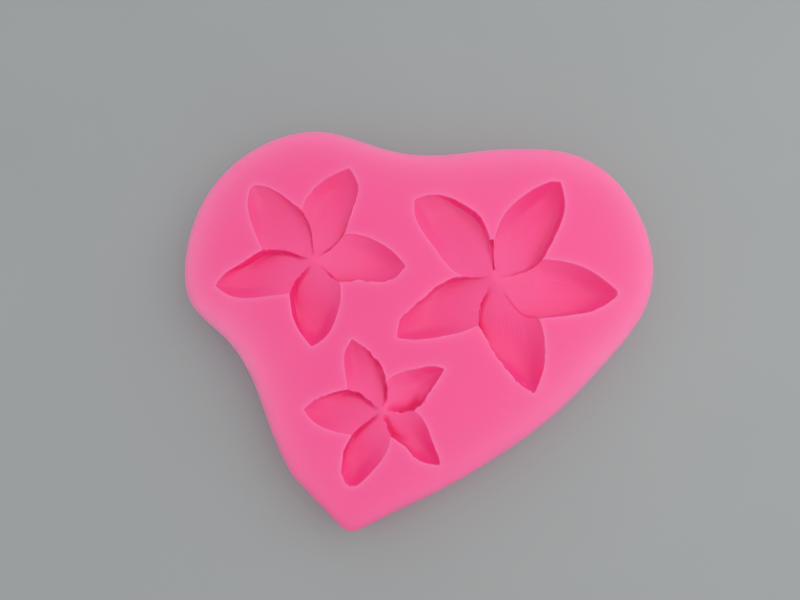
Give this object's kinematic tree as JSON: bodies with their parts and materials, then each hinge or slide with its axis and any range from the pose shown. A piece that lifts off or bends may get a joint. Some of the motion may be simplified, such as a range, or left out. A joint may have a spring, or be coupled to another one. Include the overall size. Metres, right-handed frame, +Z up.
{
  "type": "silicone fondant mould",
  "caption": "Flexible freeform pink silicone slab with petalled flower cavities sunk into its flat top, for shaping fondant and sugar paste.",
  "frame": {"origin": "centre of the slab's bounding box in plan, on the face it rests on", "axes": "+X along the slab's longest side, +Y towards its two lobes, +Z up out of the working face"},
  "size_m": [0.1, 0.0845, 0.012],
  "materials": {
    "silicone_pink": "soft satin moulded silicone"
  },
  "bodies": {
    "root": {"silicone_mould": "silicone_pink"}
  },
  "joints": []
}
